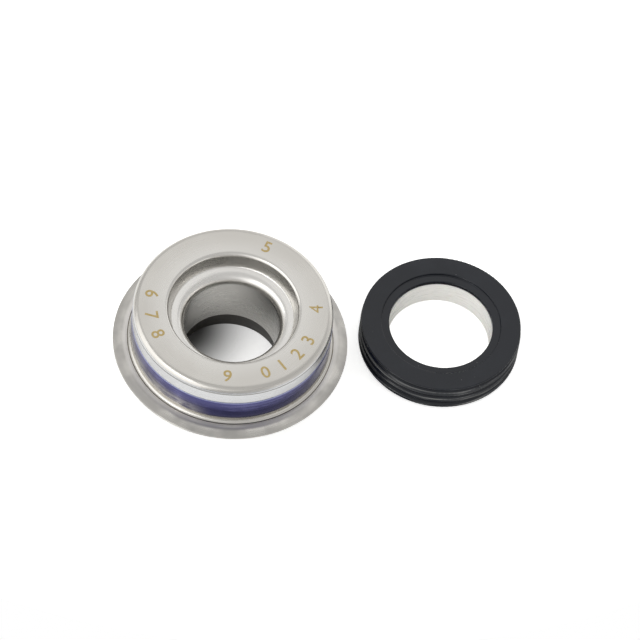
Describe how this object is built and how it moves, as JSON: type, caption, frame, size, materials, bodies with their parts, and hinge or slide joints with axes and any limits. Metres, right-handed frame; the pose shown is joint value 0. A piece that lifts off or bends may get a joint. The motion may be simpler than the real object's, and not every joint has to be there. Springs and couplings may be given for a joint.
{
  "type": "mechanical shaft seal",
  "caption": "Sprung face seal for a small water pump: a pressed stainless seal head with a carbon ring, and its ceramic mating ring in a ribbed rubber cup.",
  "frame": {"origin": "on the seal head's axis, in the plane of the flange's seating face", "axes": "+Z along the head's axis, out of the case's closed end; the mating ring lies beside the head on its +X side"},
  "size_m": [0.0573, 0.0372, 0.0151],
  "materials": {
    "stainless_sheet": "drawn stainless sheet, satin",
    "sealant": "dried blue-violet sealing lacquer",
    "bellows_rubber": "moulded nitrile rubber, matte",
    "pressed_rings": "pressed stainless, bright",
    "spring_wire": "drawn spring wire",
    "carbon": "resin-bonded carbon graphite, lapped face",
    "ceramic": "sintered white alumina, ground and lapped",
    "cup_rubber": "moulded nitrile rubber, satin"
  },
  "bodies": {
    "seal_case": {"case": "stainless_sheet", "sealant_band": "sealant", "bellows_clamp_ring": "pressed_rings", "coil_spring": "spring_wire", "mating_ring": "ceramic", "mating_ring_cup": "cup_rubber"},
    "sliding_face": {"carbon_ring": "carbon", "drive_band": "pressed_rings", "spring_retainer": "pressed_rings", "bellows": "bellows_rubber"}
  },
  "joints": [
    {"name": "face_travel", "type": "slide", "parent": "seal_case", "child": "sliding_face", "axis": [0, 0, 1], "range_m": [0, 0.0028], "stiffness_N_per_m": 1600, "springref_m": -0.002, "deforming": ["coil_spring", "bellows"]}
  ]
}
